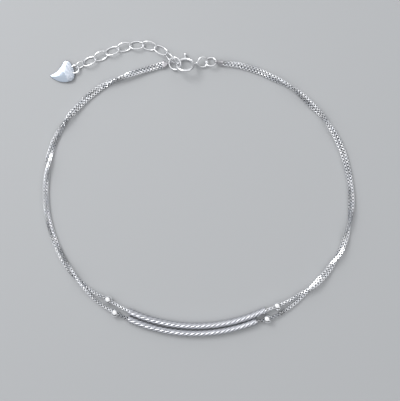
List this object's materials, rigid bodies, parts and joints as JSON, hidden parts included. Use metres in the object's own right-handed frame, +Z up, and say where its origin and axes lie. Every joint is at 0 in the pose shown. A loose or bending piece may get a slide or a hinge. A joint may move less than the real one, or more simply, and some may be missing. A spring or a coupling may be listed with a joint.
{
  "type": "payal anklet",
  "caption": "Silver payal anklet: twisted double box chain with beads, curved fluted tubes, a spring ring clasp and an extender with a heart tag.",
  "frame": {"origin": "on the resting surface, under the middle of the outline", "axes": "+Y from the front tubes to the clasp, +X to the right of the loop seen from above with the clasp at the far side, +Z up"},
  "size_m": [0.0747, 0.0709, 0.0034],
  "materials": {
    "chain_silver": "bright box chain links, rhodium plated silver",
    "tube_silver": "bright twisted flutes with cut facets",
    "bead_silver": "mirror polished round beads",
    "ring_silver": "polished round wire, caps soldered",
    "clasp_silver": "polished hollow spring ring",
    "tag_silver": "polished plate with a satin zone, no lettering"
  },
  "bodies": {
    "root": {"chain_outer": "chain_silver", "chain_inner": "chain_silver", "bar_outer": "tube_silver", "bar_inner": "tube_silver", "bead_left_outer": "bead_silver", "bead_left_inner": "bead_silver", "bead_right_outer": "bead_silver", "bead_right_inner": "bead_silver", "end_cap_left": "ring_silver", "end_cap_right": "ring_silver", "jump_ring": "ring_silver", "ring_right_1": "ring_silver", "ring_right_2": "ring_silver", "extender_link_1": "ring_silver", "extender_link_2": "ring_silver", "extender_link_3": "ring_silver", "extender_link_4": "ring_silver", "extender_link_5": "ring_silver", "extender_link_6": "ring_silver", "extender_link_7": "ring_silver", "extender_link_8": "ring_silver", "tag_ring": "ring_silver", "clasp_ring": "clasp_silver", "heart_tag": "tag_silver"},
    "latch": {"clasp_latch": "clasp_silver"}
  },
  "joints": [
    {"name": "latch_slide", "type": "hinge", "parent": "root", "child": "latch", "pos_m": [-0.0029, 0.02963, 0.00178], "axis": [0, -0.6293, -0.7771], "range_deg": [0, 50], "stiffness_Nm_per_rad": 0.001, "springref_deg": -22.92}
  ]
}
